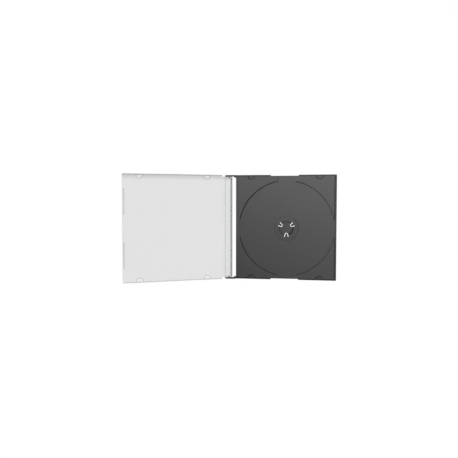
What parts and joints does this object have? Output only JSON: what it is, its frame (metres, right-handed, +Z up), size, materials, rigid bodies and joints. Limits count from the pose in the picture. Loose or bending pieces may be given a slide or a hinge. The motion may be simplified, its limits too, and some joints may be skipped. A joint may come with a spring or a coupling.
{
  "type": "disc jewel case",
  "caption": "Slim hinged case for a disc, standing open: opaque tray with a round well, spring hub and hinge arms, and a clear lid with side walls, paper tabs and a spine.",
  "frame": {"origin": "middle of the open case's footprint, on the surface that it stands on", "axes": "+Z up along the hinge, +X along the tray from the hinge to its opening edge, -Y the side that the open case faces"},
  "size_m": [0.258, 0.0718, 0.134],
  "materials": {
    "tray_plastic": "satin moulded",
    "clear_plastic": "clear polished"
  },
  "bodies": {
    "tray": {"base_tray": "tray_plastic"},
    "lid": {"lid": "clear_plastic"}
  },
  "joints": [
    {"name": "lid_hinge", "type": "hinge", "parent": "tray", "child": "lid", "pos_m": [-0.00796, 0.0317, 0.067], "axis": [0, 0, 1], "range_deg": [-29, 151]}
  ]
}
